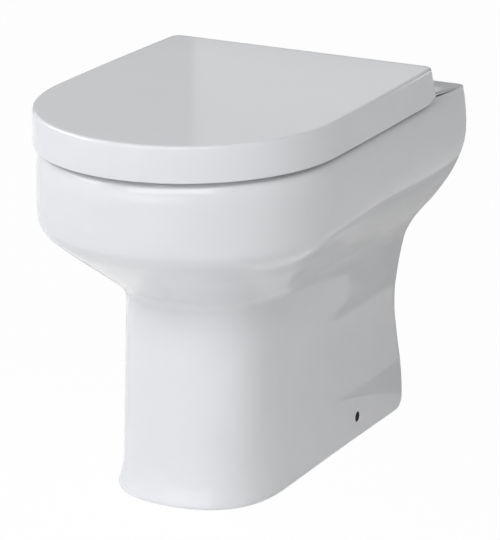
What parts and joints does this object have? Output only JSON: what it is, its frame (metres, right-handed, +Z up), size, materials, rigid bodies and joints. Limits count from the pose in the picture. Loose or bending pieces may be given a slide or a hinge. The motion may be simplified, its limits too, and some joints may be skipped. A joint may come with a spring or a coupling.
{
  "type": "back to wall toilet",
  "caption": "Back to wall toilet pan in white glazed ceramic with a tapered pedestal, a hinged seat and a wrap-over soft-close lid.",
  "frame": {"origin": "on the floor, under the middle of the whole toilet's box: half way between the wall plane and the lid's front edge, on the centre plane", "axes": "+Z up, -Y the way the bowl's front points, +Y towards the wall, +X to the right of somebody who faces the toilet's front, so at the toilet's own left"},
  "size_m": [0.356, 0.558, 0.4595],
  "materials": {
    "pan": "white vitreous china, glossy glaze",
    "seat": "white moulded seat, glossy",
    "lid": "white moulded lid, glossy",
    "hinge_chrome": "polished chrome",
    "stud_steel": "zinc plated thread",
    "seal_rubber": "soft dark rubber",
    "buffer_rubber": "translucent white rubber",
    "nylon": "natural nylon"
  },
  "bodies": {
    "pan_body": {"pan": "pan", "hinge_post_left": "hinge_chrome", "hinge_post_right": "hinge_chrome", "hinge_pin_left": "hinge_chrome", "hinge_pin_right": "hinge_chrome", "gasket_left": "seal_rubber", "gasket_right": "seal_rubber", "stud_left": "stud_steel", "stud_right": "stud_steel", "cone_washer_left": "seal_rubber", "cone_washer_right": "seal_rubber", "wing_nut_left": "nylon", "wing_nut_right": "nylon"},
    "seat_body": {"seat": "seat", "seat_bush": "nylon", "seat_damper": "nylon", "seat_buffer_front_left": "buffer_rubber", "seat_buffer_front_right": "buffer_rubber", "seat_buffer_rear_left": "buffer_rubber", "seat_buffer_rear_right": "buffer_rubber"},
    "lid_body": {"lid": "lid", "lid_bush": "nylon", "lid_damper": "nylon", "lid_buffer_front_left": "buffer_rubber", "lid_buffer_front_right": "buffer_rubber", "lid_buffer_rear_left": "buffer_rubber", "lid_buffer_rear_right": "buffer_rubber"}
  },
  "joints": [
    {"name": "lid_hinge", "type": "hinge", "parent": "pan_body", "child": "lid_body", "pos_m": [0, 0.168, 0.437], "axis": [-1, 0, 0], "range_deg": [0, 100]},
    {"name": "seat_hinge", "type": "hinge", "parent": "pan_body", "child": "seat_body", "pos_m": [0, 0.168, 0.437], "axis": [-1, 0, 0], "range_deg": [0, 95]}
  ],
  "couplings": [
    {"joint": "seat_hinge", "follows": "lid_hinge", "ratio": 0.95}
  ]
}
